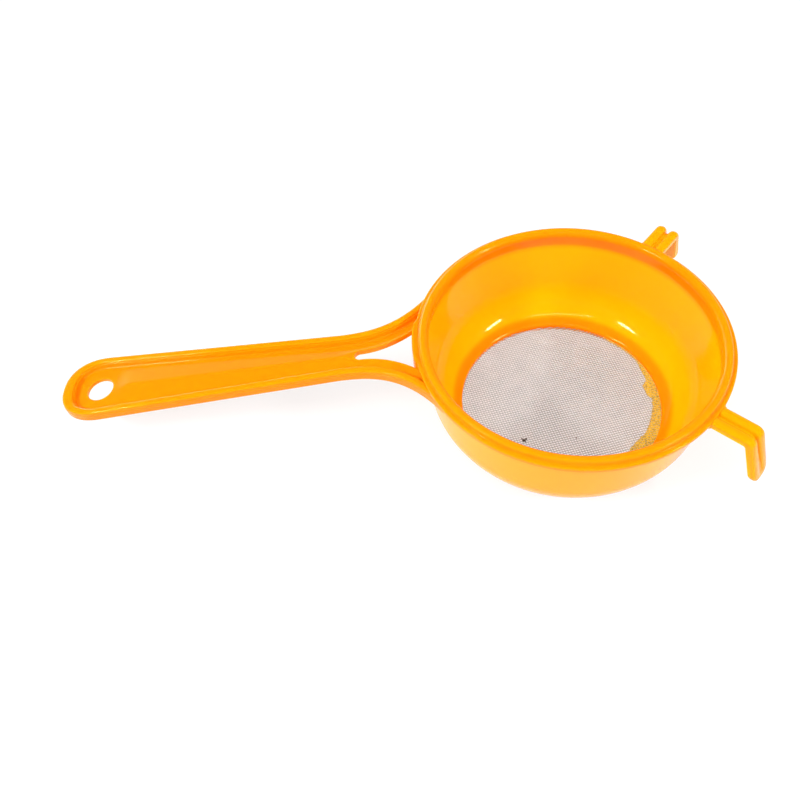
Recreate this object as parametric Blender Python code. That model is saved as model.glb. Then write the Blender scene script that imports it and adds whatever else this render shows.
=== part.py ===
"""Hand-held flour sieve: a moulded plastic bowl with a rim, a forked handle and two rest hooks,
and a disc of woven wire cloth held in the bottom of the bowl.

Everything is modelled about the bowl's own axis, with the base ring standing on z = 0 and the
handle running along -X, and hangs from one empty that puts the origin at the middle of the
sieve's footprint.
"""

from math import atan2, cos, pi, radians, sin, sqrt

import bmesh
import bpy
from mathutils import Vector

MM = 0.001

# Where the bowl's axis stands: the origin is the bottom centre of the whole sieve.
BOWL_X = 71.2 * MM
BOWL_Y = -2.1 * MM

GAP = 0.3 * MM  # clearance between neighbouring solids
SEGMENTS = 72  # facets round the turned pieces

# Rim: a rounded crest on an outer flange.
FLANGE_RADIUS = 60.0 * MM
FLANGE_TOP = 44.0 * MM
FLANGE_BOTTOM = 42.1 * MM
CREST_TOP = 46.0 * MM
CREST_OUTER = 58.1 * MM
CREST_INNER = 54.8 * MM
RIM_BOTTOM = 41.0 * MM

# Bowl: a slightly tapered wall that turns in through a large round to the base ring.
WALL = 1.5 * MM
WALL_TOP_RADIUS = 57.1 * MM
TURN_RADIUS = 22.5 * MM
TURN_CENTRE_R = 32.5 * MM
TURN_CENTRE_Z = 22.0 * MM
WALL_TAPER = radians(6.1)
BASE_OUTER = 43.5 * MM
BASE_INNER = 41.2 * MM
SEAT_RADIUS = 42.5 * MM
SEAT_BOTTOM = 0.8 * MM
SEAT_TOP = 1.9 * MM
BASE_LIP_TOP = 2.5 * MM

# Wire cloth: one thin flat disc.
CLOTH_RADIUS = 42.15 * MM
CLOTH_THICKNESS = 0.45 * MM
CLOTH_MIDDLE_Z = 1.35 * MM

# Handle: a channel section that leaves the rim just under the flange and slopes down.
HANDLE_TOP_Z = 42.0 * MM  # rail top where the handle meets the rim
HANDLE_START = 60.0 * MM
HANDLE_END = 206.4 * MM
HANDLE_SLOPE = radians(7.7)
HANDLE_DEPTH = 5.0 * MM
RAIL_WIDTH = 3.1 * MM
RECESS_DEPTH = 3.0 * MM
NECK_AT = 90.0 * MM
NECK_HALF = 10.0 * MM
TIP_START = 189.5 * MM
TIP_HALF = 14.7 * MM
FORK_SPREAD = 9.7 * MM  # how far the arms have spread where they meet the rim
FORK_POWER = 2.7
ARM_END = 50.0 * MM  # the arms end under the flange, against the bowl's wall
CROTCH_AT = 84.4 * MM
CROTCH_RADIUS = 2.4 * MM
OPENING_HALF = 9.8 * MM  # half-width of the fork's opening at the rim
HOLE_AT = 191.0 * MM
HOLE_RADIUS = 5.5 * MM

# Rest hooks: a short arm and a leg that splays outwards, both ribbed in pairs.
HOOK_FRONT_ANGLE = radians(-40.8)
HOOK_BACK_ANGLE = radians(49.8)
HOOK_WIDTH = 9.6 * MM
HOOK_GROOVE = 2.2 * MM
HOOK_GROOVE_DEPTH = 1.1 * MM
HOOK_ROOT = 57.3 * MM
HOOK_TOP_Z = 43.8 * MM
HOOK_ARM_DEPTH = 2.7 * MM
HOOK_CORNER = 74.8 * MM
HOOK_INNER_CORNER = 72.6 * MM
HOOK_SPLAY = 0.352  # how far the leg's outer side leans out for each unit it goes down
HOOK_INNER_SPLAY = 0.385
HOOK_FOOT_Z = 24.0 * MM
HOOK_FOOT_CORNER = 2.6 * MM


def clear_scene():
    for item in list(bpy.data.objects):
        bpy.data.objects.remove(item, do_unlink=True)


def plastic(name, colour, roughness, metallic=0.0):
    material = bpy.data.materials.new(name)
    material.use_nodes = True
    shader = material.node_tree.nodes["Principled BSDF"]
    shader.inputs["Base Color"].default_value = (*colour, 1.0)
    shader.inputs["Roughness"].default_value = roughness
    shader.inputs["Metallic"].default_value = metallic
    material.diffuse_color = (*colour, 1.0)
    return material


def add_object(name, mesh, material, parent=None, smooth_angle=radians(32)):
    if material is not None:
        mesh.materials.append(material)
    mesh.shade_smooth()
    mesh.set_sharp_from_angle(angle=smooth_angle)
    item = bpy.data.objects.new(name, mesh)
    bpy.context.scene.collection.objects.link(item)
    item.parent = parent
    return item


def mesh_from(bm, name):
    bmesh.ops.recalc_face_normals(bm, faces=bm.faces)
    mesh = bpy.data.meshes.new(name)
    bm.to_mesh(mesh)
    bm.free()
    return mesh


def turned(name, profile, segments=SEGMENTS):
    """A ring turned about Z from a closed profile of (radius, height) points."""
    bm = bmesh.new()
    rings = []
    for step in range(segments):
        angle = 2 * pi * step / segments
        ring = [bm.verts.new((r * cos(angle), r * sin(angle), z)) for r, z in profile]
        rings.append(ring)
    count = len(profile)
    for step in range(segments):
        here, there = rings[step], rings[(step + 1) % segments]
        for k in range(count):
            following = (k + 1) % count
            bm.faces.new((here[k], there[k], there[following], here[following]))
    return mesh_from(bm, name)


def lofted(name, layers):
    """A solid through a stack of outlines with equal counts of points, capped at both ends."""
    bm = bmesh.new()
    stack = [[bm.verts.new(point) for point in layer] for layer in layers]
    count = len(stack[0])
    for low, high in zip(stack, stack[1:]):
        for k in range(count):
            following = (k + 1) % count
            bm.faces.new((low[k], low[following], high[following], high[k]))
    bm.faces.new(stack[0])
    bm.faces.new(stack[-1])
    return mesh_from(bm, name)


def arc_points(centre, radius, start, end, steps):
    """Points on an arc, by angles below the horizontal."""
    points = []
    for k in range(steps + 1):
        angle = start + (end - start) * k / steps
        points.append((centre[0] + radius * cos(angle), centre[1] - radius * sin(angle)))
    return points


def angle_at_radius(centre_r, radius, wanted):
    return pi / 2 - atan2(wanted - centre_r, sqrt(radius**2 - (wanted - centre_r) ** 2))


# ---------------------------------------------------------------- turned pieces


def bowl_profile():
    centre = (TURN_CENTRE_R, TURN_CENTRE_Z)
    wall_top = RIM_BOTTOM - GAP
    outer_end = angle_at_radius(TURN_CENTRE_R, TURN_RADIUS, BASE_OUTER + 0.3 * MM)
    inner = TURN_RADIUS - WALL
    inner_end = angle_at_radius(TURN_CENTRE_R, inner, BASE_INNER + 0.6 * MM)
    outside = [(WALL_TOP_RADIUS, wall_top)]
    outside += arc_points(centre, TURN_RADIUS, WALL_TAPER, outer_end, 9)
    outside += [(BASE_OUTER, 3.0 * MM), (BASE_OUTER, 0.35 * MM), (BASE_OUTER - 0.35 * MM, 0.0)]
    seat = [
        (BASE_INNER + 0.2 * MM, 0.0),
        (BASE_INNER, 0.2 * MM),
        (BASE_INNER, SEAT_BOTTOM),
        (SEAT_RADIUS, SEAT_BOTTOM),
        (SEAT_RADIUS, SEAT_TOP),
        (BASE_INNER, SEAT_TOP),
        (BASE_INNER, BASE_LIP_TOP),
    ]
    inside = arc_points(centre, inner, WALL_TAPER, inner_end, 9)
    inside.reverse()
    return outside + seat + inside + [(WALL_TOP_RADIUS - WALL, wall_top)]


def rim_profile():
    inner = WALL_TOP_RADIUS - WALL
    return [
        (inner, RIM_BOTTOM),
        (CREST_INNER, RIM_BOTTOM + 2.2 * MM),
        (CREST_INNER, CREST_TOP - 1.9 * MM),
        (CREST_INNER + 0.55 * MM, CREST_TOP - 0.6 * MM),
        (CREST_INNER + 1.8 * MM, CREST_TOP),
        (CREST_OUTER - 0.9 * MM, CREST_TOP - 0.1 * MM),
        (CREST_OUTER - 0.1 * MM, CREST_TOP - 0.8 * MM),
        (CREST_OUTER, FLANGE_TOP + 0.1 * MM),
        (FLANGE_RADIUS - 0.5 * MM, FLANGE_TOP),
        (FLANGE_RADIUS, FLANGE_TOP - 0.5 * MM),
        (FLANGE_RADIUS, FLANGE_BOTTOM + 0.5 * MM),
        (FLANGE_RADIUS - 0.5 * MM, FLANGE_BOTTOM),
        (WALL_TOP_RADIUS, FLANGE_BOTTOM),
        (WALL_TOP_RADIUS, RIM_BOTTOM),
    ]


def wire_cloth(name, segments=SEGMENTS):
    half = CLOTH_THICKNESS / 2
    layers = []
    for z in (CLOTH_MIDDLE_Z - half, CLOTH_MIDDLE_Z + half):
        angles = [2 * pi * k / segments for k in range(segments)]
        layers.append([(CLOTH_RADIUS * cos(a), CLOTH_RADIUS * sin(a), z) for a in angles])
    return lofted(name, layers)


# ---------------------------------------------------------------- handle


def outer_half(s):
    """Half-width of the handle's outline at a distance s from the bowl's axis."""
    if s >= TIP_START:
        along = (s - TIP_START) / (HANDLE_END - TIP_START)
        return TIP_HALF * sqrt(max(0.0, 1 - along**2))
    share = max(0.0, (s - NECK_AT) / (TIP_START - NECK_AT))
    width = NECK_HALF + (TIP_HALF - NECK_HALF) * share
    if s < NECK_AT:
        spread = (NECK_AT - s) / (NECK_AT - HANDLE_START)
        width += FORK_SPREAD * spread**FORK_POWER
    return width


def opening_half(s):
    """Half-width of the opening between the fork's arms."""
    turn = CROTCH_AT - CROTCH_RADIUS
    if s > turn:
        return sqrt(max(0.0, CROTCH_RADIUS**2 - (s - turn) ** 2))
    spread = (turn - s) / (turn - HANDLE_START)
    return CROTCH_RADIUS + (OPENING_HALF - CROTCH_RADIUS) * spread**2


def spaced(start, end, steps):
    return [start + (end - start) * k / steps for k in range(steps + 1)]


def inset(points, amount):
    """Move an anticlockwise outline inwards by amount; its closing side keeps its direction."""
    result = []
    last = len(points) - 1
    for k, point in enumerate(points):
        before = Vector(points[max(k - 1, 0)])
        after = Vector(points[min(k + 1, last)])
        along = (after - before).normalized()
        result.append((point[0] - along.y * amount, point[1] + along.x * amount))
    return result


def handle_outline():
    """The outline in plan, anticlockwise, as (x, y) with the handle along -X."""
    stations = spaced(ARM_END, NECK_AT, 11)[:-1] + spaced(NECK_AT, TIP_START, 5)[:-1]
    back = [(-s, outer_half(s)) for s in stations]
    tip = []
    for k in range(17):
        angle = pi / 2 + pi * k / 16
        reach = HANDLE_END - TIP_START
        tip.append((-TIP_START + reach * cos(angle), TIP_HALF * sin(angle)))
    front = [(x, -y) for x, y in reversed(back)]
    return back + tip + front


def opening_outline():
    stations = spaced(44 * MM, CROTCH_AT - CROTCH_RADIUS, 9)[:-1]
    back = [(-s, opening_half(s)) for s in stations]
    turn = []
    for k in range(9):
        angle = pi / 2 + pi * k / 8
        turn.append((-(CROTCH_AT - CROTCH_RADIUS) + CROTCH_RADIUS * cos(angle), CROTCH_RADIUS * sin(angle)))
    front = [(x, -y) for x, y in reversed(back)]
    return back + turn + front


def sloped(points, depth):
    """Put plan points at a depth below the sloping plane of the handle's rail tops."""
    fall = sin(HANDLE_SLOPE) / cos(HANDLE_SLOPE)
    return [(x, y, HANDLE_TOP_Z - (-x - HANDLE_START) * fall - depth) for x, y in points]


def cutter(name, mesh, parent):
    item = add_object(name, mesh, None, parent)
    item.hide_render = True
    item.display_type = "WIRE"
    return item


def subtract(item, tool):
    modifier = item.modifiers.new("cut_" + tool.name, "BOOLEAN")
    modifier.operation = "DIFFERENCE"
    modifier.solver = "EXACT"
    modifier.object = tool


def clearance_profile():
    """The rim and bowl wall, grown by the clearance, as one solid of revolution."""
    return [
        (20 * MM, 20 * MM),
        (WALL_TOP_RADIUS - 1.6 * MM + GAP, 20 * MM),
        (WALL_TOP_RADIUS + GAP, RIM_BOTTOM - 2 * MM),
        (WALL_TOP_RADIUS + GAP, FLANGE_BOTTOM - GAP),
        (FLANGE_RADIUS + GAP, FLANGE_BOTTOM - GAP),
        (FLANGE_RADIUS + GAP, 50 * MM),
        (20 * MM, 50 * MM),
    ]


def build_handle(material, parent, envelope):
    outline = handle_outline()
    edge = 0.7 * MM
    layers = [
        sloped(inset(outline, edge), HANDLE_DEPTH),
        sloped(outline, HANDLE_DEPTH - edge),
        sloped(outline, edge),
        sloped(inset(outline, edge), 0.0),
    ]
    handle = add_object("handle", lofted("handle", layers), material, parent)

    pocket = inset(outline, RAIL_WIDTH)
    floor = inset(outline, RAIL_WIDTH + 0.5 * MM)
    pocket_layers = [sloped(floor, RECESS_DEPTH), sloped(pocket, -2 * MM)]
    subtract(handle, cutter("cut_recess", lofted("cut_recess", pocket_layers), parent))

    gap = opening_outline()
    gap_layers = [sloped(gap, HANDLE_DEPTH + 3 * MM), sloped(gap, -3 * MM)]
    subtract(handle, cutter("cut_fork", lofted("cut_fork", gap_layers), parent))

    hole = [
        (-HOLE_AT + HOLE_RADIUS * cos(2 * pi * k / 24), HOLE_RADIUS * sin(2 * pi * k / 24)) for k in range(24)
    ]
    hole_layers = [sloped(hole, HANDLE_DEPTH + 3 * MM), sloped(hole, -1 * MM)]
    subtract(handle, cutter("cut_hole", lofted("cut_hole", hole_layers), parent))
    subtract(handle, envelope)
    return handle


# ---------------------------------------------------------------- rest hooks


def hook_side(depth):
    """Closed side view of the hook, its outer side sunk by depth, as (radius, height) points."""
    top = HOOK_TOP_Z - depth
    under = HOOK_TOP_Z - HOOK_ARM_DEPTH
    foot = HOOK_FOOT_Z - 0.2 * MM

    def outer(z):
        return HOOK_CORNER + HOOK_SPLAY * (HOOK_TOP_Z - z) - depth

    def inner(z):
        return HOOK_INNER_CORNER + HOOK_INNER_SPLAY * (under - z)

    corner = HOOK_CORNER - depth
    return [
        (HOOK_ROOT - 4 * MM, under),
        (HOOK_INNER_CORNER - 1.0 * MM, under),
        (inner(under - 1.0 * MM), under - 1.0 * MM),
        (inner(foot + 0.6 * MM), foot + 0.6 * MM),
        (inner(foot) + 0.6 * MM, foot),
        (outer(foot) - 0.6 * MM, foot),
        (outer(foot + 0.7 * MM), foot + 0.7 * MM),
        (outer(top - 2.3 * MM), top - 2.3 * MM),
        (corner + 0.1 * MM, top - 0.9 * MM),
        (corner - 0.8 * MM, top - 0.2 * MM),
        (corner - 2.0 * MM, top),
        (HOOK_ROOT - 4 * MM, top),
    ]


def hook_section():
    """Positions across the hook's width with how far the outer side is sunk there."""
    half = HOOK_WIDTH / 2
    groove = HOOK_GROOVE / 2
    return [
        (-half, 0.8 * MM),
        (-half + 0.7 * MM, 0.1 * MM),
        (-groove - 0.7 * MM, 0.0),
        (-groove, 0.4 * MM),
        (-groove * 0.45, HOOK_GROOVE_DEPTH),
        (groove * 0.45, HOOK_GROOVE_DEPTH),
        (groove, 0.4 * MM),
        (groove + 0.7 * MM, 0.0),
        (half - 0.7 * MM, 0.1 * MM),
        (half, 0.8 * MM),
    ]


def build_hook(name, angle, material, parent, envelope):
    layers = []
    for across, depth in hook_section():
        layers.append([(r, across, z) for r, z in hook_side(depth)])
    hook = add_object(name, lofted(name, layers), material, parent)
    hook.rotation_euler = (0, 0, angle)

    # the foot is cut level, with its two corners rounded off across the hook's width
    half = HOOK_WIDTH / 2
    steps = 6
    turn = [pi / 2 * k / steps for k in range(steps + 1)]
    side = half - HOOK_FOOT_CORNER
    rise = HOOK_FOOT_Z + HOOK_FOOT_CORNER
    corner = [(side + HOOK_FOOT_CORNER * cos(a), rise - HOOK_FOOT_CORNER * sin(a)) for a in turn]
    rounding = corner + [(-across, z) for across, z in reversed(corner)]
    low = HOOK_FOOT_Z - 3 * MM
    outline = [(half + 2 * MM, low), (half + 2 * MM, rise)] + rounding
    outline += [(-half - 2 * MM, rise), (-half - 2 * MM, low)]
    reach = (HOOK_CORNER - 6 * MM, HOOK_CORNER + 12 * MM)
    foot_layers = [[(r, across, z) for across, z in outline] for r in reach]
    foot = cutter("cut_" + name, lofted("cut_" + name, foot_layers), parent)
    foot.rotation_euler = (0, 0, angle)
    subtract(hook, foot)
    subtract(hook, envelope)
    return hook


def main():
    clear_scene()
    frame = bpy.data.objects.new("sieve_frame", None)
    bpy.context.scene.collection.objects.link(frame)
    frame.location = (BOWL_X, BOWL_Y, 0)

    orange = (0.93, 0.33, 0.012)
    add_object("bowl", turned("bowl", bowl_profile()), plastic("bowl", (0.95, 0.42, 0.015), 0.25), frame)
    add_object("rim", turned("rim", rim_profile()), plastic("rim", orange, 0.2), frame)
    steel = plastic("wire_mesh", (0.66, 0.62, 0.58), 0.4, 0.8)
    add_object("wire_mesh", wire_cloth("wire_mesh"), steel, frame)

    envelope = cutter("cut_envelope", turned("cut_envelope", clearance_profile()), frame)
    build_handle(plastic("handle", orange, 0.22), frame, envelope)
    build_hook("rest_hook_front", HOOK_FRONT_ANGLE, plastic("rest_hook_front", orange, 0.22), frame, envelope)
    build_hook("rest_hook_back", HOOK_BACK_ANGLE, plastic("rest_hook_back", orange, 0.22), frame, envelope)


main()
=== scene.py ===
from math import atan2, cos, degrees, hypot, pi, radians, sin, sqrt, tan

import bmesh
import bpy
from mathutils import Matrix, Vector, noise


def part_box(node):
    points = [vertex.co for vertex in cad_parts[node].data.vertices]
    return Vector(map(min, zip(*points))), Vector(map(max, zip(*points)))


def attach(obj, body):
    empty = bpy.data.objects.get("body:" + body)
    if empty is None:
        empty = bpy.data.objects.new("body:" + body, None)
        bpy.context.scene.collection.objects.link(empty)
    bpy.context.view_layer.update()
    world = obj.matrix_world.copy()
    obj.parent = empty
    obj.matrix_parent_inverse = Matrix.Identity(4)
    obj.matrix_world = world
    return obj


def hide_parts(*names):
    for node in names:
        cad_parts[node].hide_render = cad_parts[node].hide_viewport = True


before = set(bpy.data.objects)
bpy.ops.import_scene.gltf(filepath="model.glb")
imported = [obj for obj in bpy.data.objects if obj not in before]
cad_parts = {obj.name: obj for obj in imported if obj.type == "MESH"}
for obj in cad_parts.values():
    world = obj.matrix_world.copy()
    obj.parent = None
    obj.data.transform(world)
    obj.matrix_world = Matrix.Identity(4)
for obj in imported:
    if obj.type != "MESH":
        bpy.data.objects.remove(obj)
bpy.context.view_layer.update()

# Lengths are in millimetres and are turned into metres when a mesh is made. Pieces are modelled
# about the bowl's own axis, standing on z = 0, with the handle running along -X.
MM = 0.001


def middle_and_half(node):
    low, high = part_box(node)
    return (Vector(high) + Vector(low)) / 2, (Vector(high) - Vector(low)) / 2


BOWL_MIDDLE = middle_and_half("bowl")[0]
BOWL_AXIS = Vector((BOWL_MIDDLE.x, BOWL_MIDDLE.y, 0.0))

# Rim, from the frame: flange radius and crest height.
FLANGE_RADIUS = middle_and_half("rim")[1].x / MM
CREST_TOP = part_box("rim")[1][2] / MM
FLANGE_TOP = CREST_TOP - 2.0
FLANGE_BOTTOM = FLANGE_TOP - 1.9
CREST_INNER = FLANGE_RADIUS - 5.3
CREST_OUTER = FLANGE_RADIUS - 1.9
LEDGE_Z = CREST_TOP - 7.6

# Bowl: thin tapered wall, a large round turn and the base ring.
WALL = 1.5
WALL_OUTER = FLANGE_RADIUS - 2.9
TURN_RADIUS = 22.5
TURN_R = 32.5
TURN_Z = 22.0
TAPER = 6.1
BASE_OUTER = 43.5
BASE_INNER = 41.4
BASE_LIP = 2.5

# Wire cloth.
CLOTH_RADIUS = 42.15
CLOTH_Z = 1.35
WIRE_PITCH = 1.05
WARP_RADIUS = 0.2
WEFT_RADIUS = 0.14
CRIMP = 0.15
CLOTH_TURN = radians(14.4)

# Plastic that bled over the cloth's edge: where it starts and how far it runs, in degrees.
BLEED_START = 64
BLEED_SWEEP = 131
BLEED_STEPS = 140

# Handle. s is the distance from the bowl's axis along -X, d a depth below the sloping rail tops.
HANDLE_TOP_Z = 42.0
HANDLE_START = 60.0
HANDLE_END = -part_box("handle")[0][0] / MM + BOWL_AXIS.x / MM
HANDLE_SLOPE = radians(7.7)
HANDLE_DEPTH = 5.0
NECK_AT = 90.0
NECK_HALF = 10.05
TIP_START = 189.5
TIP_HALF = 14.75
TIP_FULLNESS = 2.3
FORK_SPREAD = 9.7
FORK_POWER = 2.7
ARM_END = 50.0
CROTCH_AT = 83.8
CROTCH_RADIUS = 2.2
OPENING_HALF = 9.7
HOLE_AT = 191.0
HOLE_RADIUS = 5.5
WEB_RADIUS = FLANGE_RADIUS + 1.1
WEB_BOTTOM = 38.0
WEB_SWING = radians(12.5)
FLOOR_DEPTH = 3.0
FLOOR_INSET = 4.4
RIDGE_HEIGHT = 0.75

# Rest hooks. A corner is a radius from the bowl's axis, and a splay is run out per unit of drop.
HOOK_ANGLES = {"rest_hook_front": radians(-40.8), "rest_hook_back": radians(49.8)}
HOOK_WIDTH = 9.6
HOOK_TOP = FLANGE_TOP - 0.2
HOOK_DEPTH = 2.7
HOOK_CORNER = 74.8
HOOK_INNER_CORNER = 72.6
HOOK_SPLAY = 0.352
HOOK_INNER_SPLAY = 0.385
HOOK_FOOT = 24.0
GROOVE_END = 3.5
FOOT_CORNER = 2.6
RIB_HALF = 2.0
GROOVE_DEPTH = 1.5

# The plastic's colour where it is thin, where it is solid and where it is thickest.
# The same scale also carries painted shade and painted light; see the rules that set it.
THIN_COLOUR = (0.93, 0.38, 0.001)
SOLID_COLOUR = (0.93, 0.245, 0.001)
DEEP_COLOUR = (0.68, 0.20, 0.001)

# Camera: where it stands from the foot of the bowl's axis, and how it is turned.
CAMERA_PLACE = Vector((-52.77, -195.61, 270.66)) * MM
CAMERA_AZIMUTH = radians(4.36)
CAMERA_ELEVATION = radians(53.44)
CAMERA_ROLL = radians(-5.58)
CAMERA_LENS = 35.1


# ---------------------------------------------------------------- shape helpers


def smoothstep(low, high, value):
    share = min(1.0, max(0.0, (value - low) / (high - low)))
    return share * share * (3 - 2 * share)


def arc(centre, radius, start, end, steps):
    """Points on an arc, by angles in degrees above the horizontal."""
    points = []
    for k in range(steps + 1):
        angle = radians(start + (end - start) * k / steps)
        points.append((centre[0] + radius * cos(angle), centre[1] + radius * sin(angle)))
    return points


def rounded(corners, closed=True, steps=5):
    """A path through (x, y, radius) corners, each turned into an arc of its radius."""
    path = []
    count = len(corners)
    for k, corner in enumerate(corners):
        here = Vector(corner[:2])
        radius = corner[2] if len(corner) > 2 else 0.0
        end = not closed and k in (0, count - 1)
        if radius == 0 or end:
            path.append(tuple(here))
            continue
        before = (Vector(corners[k - 1][:2]) - here).normalized()
        after = (Vector(corners[(k + 1) % count][:2]) - here).normalized()
        half = before.angle(after) / 2
        centre = here + (before + after).normalized() * (radius / sin(half))
        first = here + before * (radius / tan(half)) - centre
        last = here + after * (radius / tan(half)) - centre
        turn = first.angle_signed(last)
        for step in range(steps + 1):
            angle = -turn * step / steps
            path.append(
                (
                    centre.x + first.x * cos(angle) - first.y * sin(angle),
                    centre.y + first.x * sin(angle) + first.y * cos(angle),
                )
            )
    return path


def spaced(start, end, steps):
    return [start + (end - start) * k / steps for k in range(steps + 1)]


def finished_mesh(bm, name):
    bmesh.ops.recalc_face_normals(bm, faces=bm.faces)
    mesh = bpy.data.meshes.new(name)
    bm.to_mesh(mesh)
    bm.free()
    mesh.transform(Matrix.Scale(MM, 4))
    return mesh


def turned(name, profile, segments):
    bm = bmesh.new()
    rings = []
    for step in range(segments):
        angle = 2 * pi * step / segments
        rings.append([bm.verts.new((r * cos(angle), r * sin(angle), z)) for r, z in profile])
    count = len(profile)
    for step in range(segments):
        here, there = rings[step], rings[(step + 1) % segments]
        for k in range(count):
            following = (k + 1) % count
            bm.faces.new((here[k], there[k], there[following], here[following]))
    return finished_mesh(bm, name)


def lofted(name, layers):
    bm = bmesh.new()
    stack = [[bm.verts.new(point) for point in layer] for layer in layers]
    count = len(stack[0])
    for low, high in zip(stack, stack[1:]):
        for k in range(count):
            following = (k + 1) % count
            bm.faces.new((low[k], low[following], high[following], high[k]))
    bm.faces.new(stack[0])
    bm.faces.new(stack[-1])
    return finished_mesh(bm, name)


def placed(name, mesh, angle=0.0):
    mesh.transform(Matrix.Rotation(angle, 4, "Z"))
    item = bpy.data.objects.new(name, mesh)
    bpy.context.scene.collection.objects.link(item)
    item.location = BOWL_AXIS
    return item


def carved(item, operations, angle=0.0):
    """Apply Boolean operations given as (operation, mesh) pairs, and return the changed item."""
    tools = []
    for operation, mesh in operations:
        tool = placed("tool_" + operation.lower(), mesh, angle)
        tools.append(tool)
        modifier = item.modifiers.new(operation, "BOOLEAN")
        modifier.operation = operation
        modifier.solver = "EXACT"
        modifier.object = tool
    graph = bpy.context.evaluated_depsgraph_get()
    mesh = bpy.data.meshes.new_from_object(item.evaluated_get(graph))
    item.modifiers.clear()
    item.data = mesh
    for tool in tools:
        bpy.data.objects.remove(tool, do_unlink=True)
    return item


def smooth(item, angle=38):
    item.data.shade_smooth()
    item.data.set_sharp_from_angle(angle=radians(angle))
    weighted = item.modifiers.new("even_shading", "WEIGHTED_NORMAL")
    weighted.keep_sharp = True
    weighted.weight = 50


def mark_thickness_and_painted_shading(item, rule):
    """Store each point's colour depth: 0 thin wall, 1 solid, 2 thickest; some rules also paint
    shade and light into it.
    """
    layer = item.data.attributes.new("thickness_and_painted_shading", "FLOAT", "POINT")
    values = [rule(*(vertex.co / MM)) for vertex in item.data.vertices]
    layer.data.foreach_set("value", values)


# ---------------------------------------------------------------- materials


def principled(name):
    material = bpy.data.materials.new(name)
    material.use_nodes = True
    tree = material.node_tree
    return material, tree, tree.nodes["Principled BSDF"]


def add_node(tree, kind, **inputs):
    node = tree.nodes.new(kind)
    for key, value in inputs.items():
        node.inputs[key.replace("_", " ")].default_value = value
    return node


def object_noise(tree, scale, detail=3.0, roughness=0.5):
    place = tree.nodes.new("ShaderNodeTexCoord")
    grain = add_node(tree, "ShaderNodeTexNoise", Scale=scale, Detail=detail, Roughness=roughness)
    tree.links.new(place.outputs["Object"], grain.inputs["Vector"])
    return grain


def spread(tree, source, low, high, from_low=0.3, from_high=0.7):
    ranged = tree.nodes.new("ShaderNodeMapRange")
    ranged.inputs["From Min"].default_value = from_low
    ranged.inputs["From Max"].default_value = from_high
    ranged.inputs["To Min"].default_value = low
    ranged.inputs["To Max"].default_value = high
    tree.links.new(source, ranged.inputs["Value"])
    return ranged.outputs["Result"]


def mixed_colour(tree, factor, first, second):
    mix = tree.nodes.new("ShaderNodeMix")
    mix.data_type = "RGBA"
    for socket, value in ((mix.inputs[6], first), (mix.inputs[7], second)):
        if isinstance(value, tuple):
            socket.default_value = (*value, 1.0)
        else:
            tree.links.new(value, socket)
    tree.links.new(factor, mix.inputs[0])
    return mix.outputs[2]


def moulded_plastic():
    """Glossy translucent orange: amber where it is thin, deeper orange where it is thick, plus
    painted shade and painted light carried on the same colour scale.
    """
    material, tree, shader = principled("orange_polypropylene")
    thickness_and_painted_shading = tree.nodes.new("ShaderNodeAttribute")
    thickness_and_painted_shading.attribute_name = "thickness_and_painted_shading"
    cloud = object_noise(tree, 38.0)
    shade = add_node(tree, "ShaderNodeMath")
    shade.operation = "ADD"
    tree.links.new(thickness_and_painted_shading.outputs["Fac"], shade.inputs[0])
    tree.links.new(spread(tree, cloud.outputs["Fac"], -0.06, 0.06), shade.inputs[1])
    colour = mixed_colour(tree, shade.outputs[0], THIN_COLOUR, SOLID_COLOUR)
    deep = spread(tree, shade.outputs[0], 0.0, 1.0, 1.0, 2.0)
    colour = mixed_colour(tree, deep, colour, DEEP_COLOUR)
    tree.links.new(colour, shader.inputs["Base Color"])
    haze = object_noise(tree, 260.0, 4.0)
    tree.links.new(spread(tree, haze.outputs["Fac"], 0.06, 0.11), shader.inputs["Roughness"])
    ripple = object_noise(tree, 70.0, 2.0)
    bump = add_node(tree, "ShaderNodeBump", Strength=0.03, Distance=0.0001)
    tree.links.new(ripple.outputs["Fac"], bump.inputs["Height"])
    tree.links.new(bump.outputs["Normal"], shader.inputs["Normal"])
    shader.inputs["IOR"].default_value = 1.49
    shader.inputs["Specular IOR Level"].default_value = 0.26
    shader.inputs["Specular Tint"].default_value = (1.0, 0.8, 0.3, 1.0)
    shader.inputs["Subsurface Weight"].default_value = 0.65
    shader.inputs["Subsurface Radius"].default_value = (1.0, 0.8, 0.1)
    shader.inputs["Subsurface Scale"].default_value = 0.006
    return material


def wire_metal():
    material, tree, shader = principled("tinned_wire")
    tone = object_noise(tree, 150.0, 3.0)
    shade = spread(tree, tone.outputs["Fac"], 0.0, 1.0)
    colour = mixed_colour(tree, shade, (0.52, 0.54, 0.55), (0.62, 0.64, 0.65))
    tree.links.new(colour, shader.inputs["Base Color"])
    haze = object_noise(tree, 900.0, 2.0)
    tree.links.new(spread(tree, haze.outputs["Fac"], 0.28, 0.42), shader.inputs["Roughness"])
    scratch = object_noise(tree, 3000.0, 2.0)
    bump = add_node(tree, "ShaderNodeBump", Strength=0.2, Distance=0.00002)
    tree.links.new(scratch.outputs["Fac"], bump.inputs["Height"])
    tree.links.new(bump.outputs["Normal"], shader.inputs["Normal"])
    shader.inputs["Metallic"].default_value = 0.85
    return material


def bleed_plastic():
    material, tree, shader = principled("bled_plastic")
    grain = object_noise(tree, 1500.0, 3.0, 0.7)
    speckle = spread(tree, grain.outputs["Fac"], 0.0, 1.0, 0.42, 0.55)
    colour = mixed_colour(tree, speckle, (0.30, 0.22, 0.05), (0.72, 0.50, 0.04))
    tree.links.new(colour, shader.inputs["Base Color"])
    haze = object_noise(tree, 1000.0, 2.0)
    tree.links.new(spread(tree, haze.outputs["Fac"], 0.25, 0.5), shader.inputs["Roughness"])
    bump = add_node(tree, "ShaderNodeBump", Strength=0.5, Distance=0.0001)
    tree.links.new(grain.outputs["Fac"], bump.inputs["Height"])
    tree.links.new(bump.outputs["Normal"], shader.inputs["Normal"])
    return material


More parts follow.
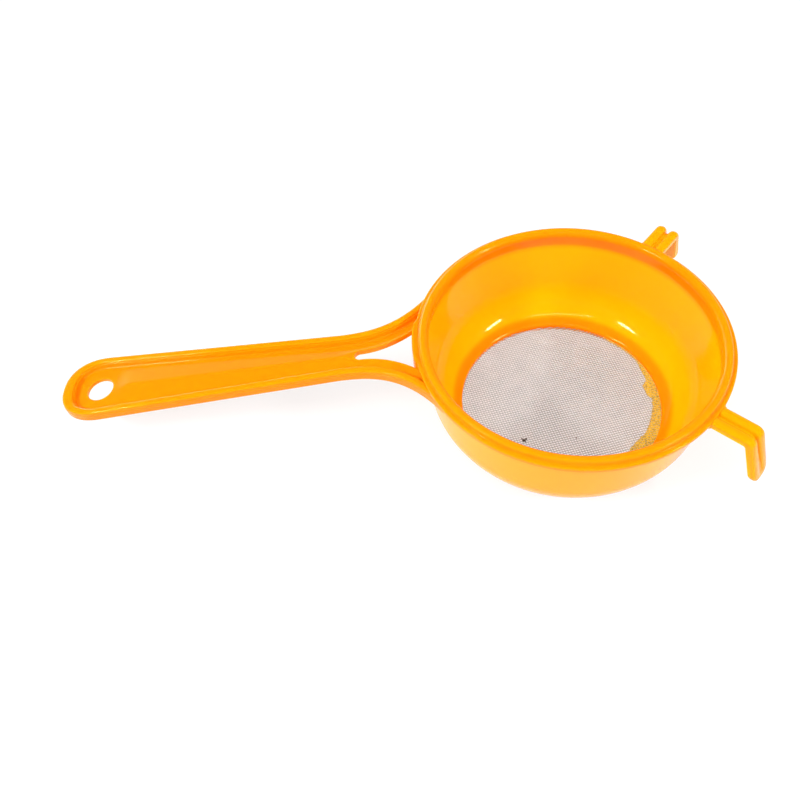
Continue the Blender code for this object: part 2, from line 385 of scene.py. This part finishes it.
def speck_matter():
    material, tree, shader = principled("dark_crumb")
    grain = object_noise(tree, 2500.0, 3.0)
    shade = spread(tree, grain.outputs["Fac"], 0.0, 1.0)
    colour = mixed_colour(tree, shade, (0.02, 0.015, 0.012), (0.10, 0.07, 0.05))
    tree.links.new(colour, shader.inputs["Base Color"])
    tree.links.new(spread(tree, grain.outputs["Fac"], 0.6, 0.9), shader.inputs["Roughness"])
    return material


# ---------------------------------------------------------------- bowl and rim


def moulding_profile():
    """Closed section of the bowl and rim as (radius, height) points."""
    centre = (TURN_R, TURN_Z)

    def lowest(radius, reach):
        """Angle at which the turn's arc of this radius comes down to a reach from the axis."""
        run = reach - TURN_R
        return -degrees(atan2(sqrt(radius**2 - run**2), run))

    inner = TURN_RADIUS - WALL
    inside = arc(centre, inner, lowest(inner, BASE_INNER + 0.5), -TAPER, 26)
    outside = arc(centre, TURN_RADIUS, -TAPER, lowest(TURN_RADIUS, BASE_OUTER + 0.3), 26)
    climb = spaced(inside[-1][1], LEDGE_Z, 8)[1:-1]
    slope = (WALL_OUTER - WALL - inside[-1][0]) / (LEDGE_Z - inside[-1][1])
    straight = [(inside[-1][0] + slope * (z - inside[-1][1]), z) for z in climb]
    corners = [(r, z, 0) for r, z in inside + straight]
    corners += [
        (WALL_OUTER - WALL, LEDGE_Z, 6.0),
        (CREST_INNER - 0.05, CREST_TOP - 2.9, 3.0),
        (CREST_INNER, CREST_TOP, 2.1),
        (CREST_OUTER, CREST_TOP, 1.1),
        (CREST_OUTER + 0.1, FLANGE_TOP, 0.8),
        (FLANGE_RADIUS, FLANGE_TOP - 0.05, 0.55),
        (FLANGE_RADIUS, FLANGE_BOTTOM, 0.5),
        (WALL_OUTER, FLANGE_BOTTOM, 0.6),
    ]
    drop = spaced(FLANGE_BOTTOM, outside[0][1], 9)[1:-1]
    slope = (WALL_OUTER - outside[0][0]) / (FLANGE_BOTTOM - outside[0][1])
    corners += [(WALL_OUTER - slope * (FLANGE_BOTTOM - z), z, 0) for z in drop]
    corners += [(r, z, 0) for r, z in outside]
    corners += [
        (BASE_OUTER, 2.2, 0.3),
        (BASE_OUTER, 0.0, 0.4),
        (BASE_INNER, 0.0, 0.3),
        (BASE_INNER, BASE_LIP, 0.5),
    ]
    return rounded(corners)


def moulding_thickness_and_painted_shade(x, y, z):
    radius = hypot(x, y)
    # Painted shade: the solid rim's deeper orange runs on down the thin wall below the crest and
    # flange.
    rim = smoothstep(CREST_TOP - 10.0, CREST_TOP - 6.2, z)
    # Painted shade: a touch deeper on the crest's inner face.
    inside = smoothstep(CREST_INNER + 1.1, CREST_INNER + 0.3, radius)
    inside *= smoothstep(CREST_TOP - 0.6, CREST_TOP - 2.4, z)
    # Deepest orange round the bottom: partly the solid base ring, partly painted shade on the
    # turn, which gets no light from below.
    base = 1.4 * smoothstep(6.0, 3.8, z) * smoothstep(47.5, 45.0, radius) if z < 8 else 0.0
    return max(1.05 * rim + 0.05 * rim * inside, base)


def build_bowl(material):
    item = placed("bowl_moulding", turned("bowl_moulding", moulding_profile(), 288))
    smooth(item)
    mark_thickness_and_painted_shading(item, moulding_thickness_and_painted_shade)
    item.data.materials.append(material)
    return item


# ---------------------------------------------------------------- handle


def outer_half(s):
    width = NECK_HALF + (TIP_HALF - NECK_HALF) * max(0.0, (s - NECK_AT) / (TIP_START - NECK_AT))
    if s < NECK_AT:
        width += FORK_SPREAD * ((NECK_AT - s) / (NECK_AT - HANDLE_START)) ** FORK_POWER
    return width


def opening_half(s):
    turn = CROTCH_AT - CROTCH_RADIUS
    if s > turn:
        return sqrt(max(0.0, CROTCH_RADIUS**2 - (s - turn) ** 2))
    spread_share = (turn - s) / (turn - HANDLE_START)
    return CROTCH_RADIUS + (OPENING_HALF - CROTCH_RADIUS) * spread_share**2


def rail_section():
    """The channel's section from the underside to the floor, as (inset, depth) points."""
    return rounded(
        [
            (0.9, HANDLE_DEPTH),
            (0.0, HANDLE_DEPTH, 0.75),
            (0.0, 1.75, 0.1),
            (0.14, 1.65, 0.1),
            (0.18, 0.0, 0.9),
            (2.85, 0.0, 0.85),
            (3.0, 1.0, 0.1),
            (3.25, 1.1, 0.15),
            (3.75, FLOOR_DEPTH, 0.9),
            (FLOOR_INSET + 0.2, FLOOR_DEPTH),
        ],
        closed=False,
    )


def below_rails(x, y, depth):
    """A point at a depth below the sloping plane of the rail tops."""
    return (x, y, HANDLE_TOP_Z - (-x - HANDLE_START) * tan(HANDLE_SLOPE) - depth)


def outline_point(k, sides, tip, inset):
    """Point k of the outline, counted from the back arm round the tip to the front arm."""
    if k > sides + tip // 2:
        x, y = outline_point(2 * sides + tip - k, sides, tip, inset)
        return x, -y
    if k < sides:
        s = ARM_END + (TIP_START - ARM_END) * k / sides
        lean = (outer_half(s + 0.01) - outer_half(s - 0.01)) / 0.02
        return -s, outer_half(s) - inset * sqrt(1 + lean**2)
    angle = pi / 2 * (k - sides) / (tip / 2)
    reach = HANDLE_END - TIP_START
    ahead, aside = sin(angle), abs(cos(angle))
    power = 2 / TIP_FULLNESS
    lean = 2 - power
    across = Vector((TIP_HALF * ahead**lean, reach * aside**lean)).normalized()
    wider = 1 + 0.62 * ahead**2 * smoothstep(0.5, 3.0, inset)
    return (
        -TIP_START - reach * ahead**power + across.x * inset * wider,
        TIP_HALF * aside**power - across.y * inset * wider,
    )


def floor_depth(x, y, foot):
    """Depth of the channel's floor, which rises to a low ridge that divides at the fork."""
    s = -x
    flat = 0.0
    if s < CROTCH_AT - 1.2:
        flat = opening_half(s) + 0.4
    elif s < CROTCH_AT + 6:
        flat = (opening_half(CROTCH_AT - 1.2) + 0.4) * (CROTCH_AT + 6 - s) / 7.2
    share = min(1.0, (foot - abs(y)) / max(0.5, foot - flat))
    return FLOOR_DEPTH - RIDGE_HEIGHT * share * smoothstep(HOLE_AT - 5, HOLE_AT - 13, s)


def channel_mesh():
    sides, tip, columns = 110, 60, 14
    last = 2 * sides + tip
    section = rail_section()
    bm = bmesh.new()
    grid = []
    for inset, depth in section:
        ring = []
        for k in range(last + 1):
            x, y = outline_point(k, sides, tip, inset)
            ring.append(bm.verts.new(below_rails(x, y, depth)))
        grid.append(ring)
    for low, high in zip(grid, grid[1:]):
        for k in range(last):
            bm.faces.new((low[k], low[k + 1], high[k + 1], high[k]))

    def strips(ring, depth_rule):
        rows = []
        for k in range(last // 2):
            left, right = ring[k], ring[last - k]
            foot = left.co.y
            row = [left]
            for j in range(1, columns):
                y = foot * (1 - 2 * j / columns)
                row.append(bm.verts.new(below_rails(left.co.x, y, depth_rule(left.co.x, y, foot))))
            rows.append(row + [right])
        for near, far in zip(rows, rows[1:]):
            for j in range(columns):
                bm.faces.new((near[j], near[j + 1], far[j + 1], far[j]))
        end = ring[last // 2]
        for j in range(columns):
            bm.faces.new((rows[-1][j], rows[-1][j + 1], end))
        return rows[0]

    floor = strips(grid[-1], floor_depth)
    under = strips(grid[0], lambda x, y, foot: HANDLE_DEPTH)
    start = [ring[0] for ring in grid] + floor[1:-1] + [ring[last] for ring in reversed(grid)]
    bm.faces.new(start + list(reversed(under[1:-1])))
    return finished_mesh(bm, "handle_channel")


def opening_outline(grow):
    """Outline of the fork's opening, grown outwards by grow."""
    stations = spaced(44.0, CROTCH_AT - CROTCH_RADIUS, 40)[:-1]
    back = []
    for s in stations:
        lean = (opening_half(s + 0.01) - opening_half(s - 0.01)) / 0.02
        back.append((-s, opening_half(s) + grow * sqrt(1 + lean**2)))
    radius = CROTCH_RADIUS + grow
    turn = []
    for k in range(25):
        angle = pi / 2 + pi * k / 24
        turn.append((-(CROTCH_AT - CROTCH_RADIUS) + radius * cos(angle), radius * sin(angle)))
    return back + turn + [(x, -y) for x, y in reversed(back)]


def hole_outline(grow):
    angles = spaced(0, 2 * pi, 72)[:-1]
    radius = HOLE_RADIUS + grow
    return [(-HOLE_AT + radius * cos(a), radius * sin(a)) for a in angles]


def flared_cutter(name, outline, top_depth, edge):
    """A cutter that leaves rounded edges at the top depth and at the underside."""
    layers = [(edge, HANDLE_DEPTH + 3)]
    for k in range(7):
        angle = pi / 2 * k / 6
        layers.append((edge * (1 - sin(angle)), HANDLE_DEPTH + 0.02 - edge * (1 - cos(angle))))
    for k in range(7):
        angle = pi / 2 * k / 6
        layers.append((edge * (1 - cos(angle)), top_depth - 0.02 + edge * (1 - sin(angle))))
    layers.append((edge, -3.0))
    rings = [[below_rails(x, y, depth) for x, y in outline(grow)] for grow, depth in layers]
    return lofted(name, rings)


def web_mesh():
    """The lip that carries the flange a little further out between the fork's arms."""
    inner = WALL_OUTER - 2.0
    heights = [
        (0.3, WEB_BOTTOM),
        (0.0, WEB_BOTTOM + 0.4),
        (0.0, FLANGE_TOP - 0.6),
        (0.18, FLANGE_TOP - 0.16),
        (0.6, FLANGE_TOP + 0.02),
    ]
    layers = []
    for shrink, z in heights:
        ring = []
        for k in range(33):
            turn = WEB_SWING * (k / 16 - 1)
            reach = WEB_RADIUS - 1.6 * smoothstep(0.6, 1.0, abs(k / 16 - 1)) - shrink
            ring.append((-reach * cos(turn), reach * sin(turn), z))
        for k in range(32, -1, -1):
            turn = WEB_SWING * (k / 16 - 1)
            ring.append((-inner * cos(turn), inner * sin(turn), z))
        layers.append(ring)
    return lofted("web", layers)


def handle_thickness_and_painted_shade(x, y, z):
    depth = HANDLE_TOP_Z - (-x - HANDLE_START) * tan(HANDLE_SLOPE) - z
    if -x < TIP_START:
        inside = outer_half(-x) - abs(y)
    else:
        along = (-x - TIP_START) / (HANDLE_END - TIP_START)
        inside = (1 - hypot(along, y / TIP_HALF)) * TIP_HALF
    # Painted shade: the channel's floor, though thinner than the rails, is given a deeper orange.
    floor = smoothstep(3.4, 5.0, inside) * smoothstep(1.8, 2.4, depth)
    return 1.25 + 0.3 * floor


def build_handle(material):
    item = placed("handle_channel", channel_mesh())
    wall_core = [(20, 20), (WALL_OUTER - 0.9, 20), (WALL_OUTER - 0.7, 50), (20, 50)]
    fork = flared_cutter("cut_fork", opening_outline, FLOOR_DEPTH - RIDGE_HEIGHT, 0.35)
    hole = flared_cutter("cut_hole", hole_outline, FLOOR_DEPTH, 0.3)
    bowl = turned("cut_wall", wall_core, 144)
    carved(
        item,
        [("DIFFERENCE", fork), ("DIFFERENCE", hole), ("UNION", web_mesh()), ("DIFFERENCE", bowl)],
    )
    smooth(item)
    mark_thickness_and_painted_shading(item, handle_thickness_and_painted_shade)
    item.data.materials.append(material)
    return item


# ---------------------------------------------------------------- rest hooks


def rib_sink(across):
    """How far the outer side is sunk at a place across the hook: two ribs and a groove."""
    centre = HOOK_WIDTH / 2 - RIB_HALF
    off = min(1.0, abs(abs(across) - centre) / RIB_HALF)
    crown = 1.15 * (1 - max(0.0, 1 - off**2.3) ** 0.5)
    if abs(across) < centre - RIB_HALF:
        return GROOVE_DEPTH
    return min(crown, GROOVE_DEPTH)


def hook_side(sink, foot, foot_sink):
    """Side view of the hook as (radius, height) points, at one place across it.

    The outer side is sunk by sink, but near the foot, at height foot, only by foot_sink.
    """
    top = HOOK_TOP - sink
    under = HOOK_TOP - HOOK_DEPTH
    outer = HOOK_CORNER + HOOK_SPLAY * (HOOK_TOP - foot) - foot_sink
    inner = HOOK_INNER_CORNER + HOOK_INNER_SPLAY * (under - foot)
    thick = outer - inner
    corners = [
        (WALL_OUTER - 0.8, top),
        (HOOK_CORNER - sink, top, 3.0),
        (outer - HOOK_SPLAY * GROOVE_END, foot + GROOVE_END, 0),
        (outer, foot, min(1.0, thick * 0.5)),
        (inner, foot, min(0.9, thick * 0.42)),
        (HOOK_INNER_CORNER, under, 1.2),
        (WALL_OUTER - 0.8, under),
    ]
    return rounded(corners)


def hook_mesh(name):
    half = HOOK_WIDTH / 2
    stations = [half * sin(pi / 2 * k / 24) for k in range(-24, 25)]
    groove = half - 2 * RIB_HALF
    stations += [-groove, groove, -groove - 0.06, groove + 0.06]
    layers = []
    for across in sorted(stations):
        beyond = max(0.0, abs(across) - (half - FOOT_CORNER)) / FOOT_CORNER
        foot = HOOK_FOOT + FOOT_CORNER * (1 - sqrt(max(0.0, 1 - beyond**2))) + 0.05 * across**2
        sink = rib_sink(across)
        foot_sink = 0.4 * sink if abs(across) > half - RIB_HALF else 0.0
        layers.append([(r, across, z) for r, z in hook_side(sink, foot, foot_sink)])
    return lofted(name, layers)


def root_mesh(name, side):
    """The fillet in plan where one side of the hook's arm leaves the flange."""
    half, radius = HOOK_WIDTH / 2, 0.8
    edge, start = FLANGE_RADIUS - 0.5, WALL_OUTER - 0.6
    outline = [(start, half - 0.9), (start, half + radius), (edge, half + radius)]
    for a in spaced(0, pi / 2, 10):
        outline.append((edge + radius * (1 - cos(a)) + 0.3, half + radius * (1 - sin(a))))
    outline.append((edge + radius + 0.3, half - 0.9))
    layers = []
    for z in (HOOK_TOP - HOOK_DEPTH + 0.05, HOOK_TOP - 0.75, HOOK_TOP - 0.55):
        layers.append([(r, side * w, z) for r, w in outline])
    return lofted(name, layers)


def hook_thickness_and_painted_light(x, y, z):
    """Painted light: the shaded inner side of the leg and the arm's underside take the thin wall's
    paler colour so they aren't too dark; solid elsewhere.
    """
    under = HOOK_TOP - HOOK_DEPTH
    inner = HOOK_INNER_CORNER + HOOK_INNER_SPLAY * (under - z)
    return 0.0 if z < under + 0.1 and hypot(x, y) < inner + 1.0 else 0.6


def build_hook(name, angle, material):
    item = placed(name + "_ribbed", hook_mesh(name), angle)
    carved(item, [("UNION", root_mesh(name + "_root", side)) for side in (-1, 1)], angle)
    smooth(item)
    mark_thickness_and_painted_shading(item, hook_thickness_and_painted_light)
    item.data.materials.append(material)
    return item


# ---------------------------------------------------------------- wire cloth


def wire_set(name, direction, sign, thick):
    """Parallel wires that pass over and under the other set, clipped to the cloth's disc."""
    bm = bmesh.new()
    along = Vector((cos(direction), sin(direction), 0))
    side = Vector((-sin(direction), cos(direction), 0))
    reach = int(CLOTH_RADIUS / WIRE_PITCH)
    for i in range(-reach, reach + 1):
        offset = i * WIRE_PITCH
        half = sqrt(CLOTH_RADIUS**2 - offset**2) if abs(offset) < CLOTH_RADIUS else 0.0
        steps = int(half / WIRE_PITCH) * 2
        if steps < 4:
            continue
        previous = None
        for j in range(-steps, steps + 1):
            place = j * WIRE_PITCH / 2
            bend = sign * (1 if (i + j // 2) % 2 == 0 else -1) if j % 2 == 0 else 0
            base = along * place + side * offset
            drift = noise.noise(Vector((base.x * 0.05, base.y * 0.05, sign * 7.0))) * 0.25
            sway = noise.noise(Vector((base.x * 0.03, base.y * 0.03, 3.0))) * 0.12
            centre = base + side * drift + Vector((0, 0, CLOTH_Z + sway + bend * CRIMP))
            ring = []
            for corner in range(4):
                turn = pi / 4 + pi / 2 * corner
                point = centre + side * (cos(turn) * thick) + Vector((0, 0, sin(turn) * thick))
                ring.append(bm.verts.new(point))
            if previous:
                for c in range(4):
                    bm.faces.new((previous[c], previous[(c + 1) % 4], ring[(c + 1) % 4], ring[c]))
            else:
                bm.faces.new(ring)
            previous = ring
        bm.faces.new(previous)
    return finished_mesh(bm, name)


def build_cloth(material):
    items = []
    sets = (("warp_wires", 0.0, 1, WARP_RADIUS), ("weft_wires", pi / 2, -1, WEFT_RADIUS))
    for name, turn, sign, thick in sets:
        item = placed(name, wire_set(name, CLOTH_TURN + turn, sign, thick))
        item.data.shade_smooth()
        item.data.materials.append(material)
        items.append(item)
    return items


def bleed_width(angle):
    """Width of the bled plastic at an angle in degrees: thin, then a lobe, then a broad band."""
    width = 1.5 * smoothstep(63, 50, angle) + 1.8 * smoothstep(31, 18, angle)
    width += 2.6 * smoothstep(15, 10, angle) * smoothstep(-2, 4, angle)
    width += 0.9 * smoothstep(4, -4, angle) + 1.0 * smoothstep(-2, -25, angle)
    width += 1.7 * smoothstep(-25, -40, angle)
    width += 0.35 * noise.noise(Vector((angle * 0.35, 0, 0)))
    return max(0.15, width * smoothstep(-51, -46, angle))


def build_bleed(material):
    bm = bmesh.new()
    tops, bottoms = [], []
    columns = 5
    for k in range(BLEED_STEPS + 1):
        angle = BLEED_START - BLEED_SWEEP * k / BLEED_STEPS
        width = bleed_width(angle)
        a = radians(angle)
        top, bottom = [], []
        for j in range(columns + 1):
            r = CLOTH_RADIUS - width * (1 - j / columns)
            x, y = r * cos(a), r * sin(a)
            rise = 0.05 * noise.noise(Vector((x * 0.9, y * 0.9, 0)))
            edge = 0.09 if j == 0 else 0.0
            top.append(bm.verts.new((x, y, CLOTH_Z + 0.16 + rise - edge)))
            bottom.append(bm.verts.new((x, y, CLOTH_Z - 0.12)))
        tops.append(top)
        bottoms.append(bottom)
    for k in range(BLEED_STEPS):
        for j in range(columns):
            bm.faces.new((tops[k][j], tops[k][j + 1], tops[k + 1][j + 1], tops[k + 1][j]))
            bm.faces.new(
                (bottoms[k][j], bottoms[k + 1][j], bottoms[k + 1][j + 1], bottoms[k][j + 1])
            )
        for j in (0, columns):
            bm.faces.new((tops[k][j], tops[k + 1][j], bottoms[k + 1][j], bottoms[k][j]))
    for k in (0, BLEED_STEPS):
        bm.faces.new(tops[k] + list(reversed(bottoms[k])))
    item = placed("plastic_bleed", finished_mesh(bm, "plastic_bleed"))
    smooth(item, 50)
    item.data.materials.append(material)
    return item


def build_speck(material):
    """Two crumbs caught on the cloth: a ragged one made of lumps, and a tiny one."""
    bm = bmesh.new()
    lumps = [
        (-17.2, -19.6, 0.85),
        (-16.3, -18.9, 0.55),
        (-17.9, -18.7, 0.42),
        (-16.6, -20.3, 0.38),
        (4.2, -19.2, 0.34),
    ]
    for x, y, size in lumps:
        made = bmesh.ops.create_icosphere(bm, subdivisions=3, radius=size)["verts"]
        for vertex in made:
            swell = 0.8 + 0.5 * noise.noise(vertex.co * 2.6 + Vector((x, y, 0)))
            vertex.co *= Vector((swell, 0.8 * swell, 0.45 * swell))
            vertex.co += Vector((x, y, CLOTH_Z + 0.35))
    item = placed("dark_crumb", finished_mesh(bm, "dark_crumb"))
    item.data.shade_smooth()
    item.data.materials.append(material)
    return item


# ---------------------------------------------------------------- stage


def build_floor():
    bm = bmesh.new()
    bmesh.ops.create_circle(bm, cap_ends=True, segments=96, radius=4.0)
    mesh = bpy.data.meshes.new("pale_floor")
    bm.to_mesh(mesh)
    bm.free()
    floor = bpy.data.objects.new("pale_floor", mesh)
    bpy.context.scene.collection.objects.link(floor)
    floor.location = (0, 0, -0.0001)
    material, tree, shader = principled("pale_floor")
    tone = object_noise(tree, 3.0)
    colour = mixed_colour(tree, tone.outputs["Fac"], (0.19, 0.19, 0.19), (0.21, 0.21, 0.21))
    tree.links.new(colour, shader.inputs["Base Color"])
    shader.inputs["Roughness"].default_value = 0.9
    shader.inputs["Specular IOR Level"].default_value = 0.2
    shader.inputs["Emission Color"].default_value = (1, 1, 1, 1)
    shader.inputs["Emission Strength"].default_value = 0.78
    mesh.materials.append(material)


def build_light(name, azimuth, elevation, distance, size, power, glints=True):
    """A soft panel that faces the sieve. Azimuth is counted from +X towards +Y."""
    data = bpy.data.lights.new(name, "AREA")
    data.shape = "RECTANGLE"
    data.size, data.size_y = size
    data.energy = power
    lamp = bpy.data.objects.new(name, data)
    bpy.context.scene.collection.objects.link(lamp)
    a, e = radians(azimuth), radians(elevation)
    away = Vector((cos(a) * cos(e), sin(a) * cos(e), sin(e)))
    lamp.location = BOWL_AXIS + away * distance
    lamp.rotation_euler = away.to_track_quat("Z", "Y").to_euler()
    lamp.visible_glossy = glints


def build_world():
    world = bpy.data.worlds.new("studio")
    bpy.context.scene.world = world
    world.use_nodes = True
    tree = world.node_tree
    background = tree.nodes["Background"]
    place = tree.nodes.new("ShaderNodeTexCoord")
    split = tree.nodes.new("ShaderNodeSeparateXYZ")
    tree.links.new(place.outputs["Generated"], split.inputs[0])
    low = spread(tree, split.outputs["Z"], 1.0, 0.0, 0.38, 0.56)
    behind = spread(tree, split.outputs["Y"], 0.0, 1.0, 0.45, 0.75)
    leftward = spread(tree, split.outputs["X"], 1.0, 0.0, -0.35, -0.10)
    backdrop = low
    for limit in (behind, leftward):
        product = add_node(tree, "ShaderNodeMath")
        product.operation = "MULTIPLY"
        tree.links.new(backdrop, product.inputs[0])
        tree.links.new(limit, product.inputs[1])
        backdrop = product.outputs[0]
    room = mixed_colour(tree, low, (0.13, 0.13, 0.13), (0.35, 0.35, 0.35))
    colour = mixed_colour(tree, backdrop, room, (3.6, 3.6, 3.6))
    tree.links.new(colour, background.inputs["Color"])
    background.inputs["Strength"].default_value = 1.0


def build_camera():
    data = bpy.data.cameras.new("camera")
    data.lens = CAMERA_LENS
    data.sensor_width = 36.0
    data.clip_start, data.clip_end = 0.01, 20.0
    camera = bpy.data.objects.new("camera", data)
    bpy.context.scene.collection.objects.link(camera)
    a, e, roll = CAMERA_AZIMUTH, CAMERA_ELEVATION, CAMERA_ROLL
    back = Vector((sin(a) * cos(e), -cos(a) * cos(e), sin(e)))
    right = Vector((cos(a), sin(a), 0))
    up = back.cross(right)
    x_axis = right * cos(roll) + up * sin(roll)
    y_axis = up * cos(roll) - right * sin(roll)
    turn = Matrix((x_axis, y_axis, back)).transposed()
    camera.rotation_mode = "QUATERNION"
    camera.rotation_quaternion = turn.to_quaternion()
    camera.location = BOWL_AXIS + CAMERA_PLACE
    bpy.context.scene.camera = camera


# ---------------------------------------------------------------- assembly


def main():
    plastic = moulded_plastic()
    wire = wire_metal()

    bowl = build_bowl(plastic)
    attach(bowl, "root")
    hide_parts("bowl", "rim")

    handle = build_handle(plastic)
    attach(handle, "root")
    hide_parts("handle")

    for node, angle in HOOK_ANGLES.items():
        hook = build_hook(node, angle, plastic)
        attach(hook, "root")
        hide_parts(node)

    for item in build_cloth(wire):
        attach(item, "root")
        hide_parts("wire_mesh")

    bleed = build_bleed(bleed_plastic())
    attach(bleed, "root")

    speck = build_speck(speck_matter())
    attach(speck, "root")

    build_floor()
    build_world()
    build_light("overhead_soft", -140, 70, 1.1, (1.2, 1.2), 11.2, glints=False)
    build_light("right_glint", -25, 35, 0.9, (0.20, 0.04), 5.0)
    build_light("left_glint", -155, 40, 0.9, (0.20, 0.04), 5.0)
    build_light("front_strip", -88, 57, 0.9, (0.7, 0.03), 1.2)
    build_camera()
    bpy.context.scene.view_settings.view_transform = "Standard"


main()
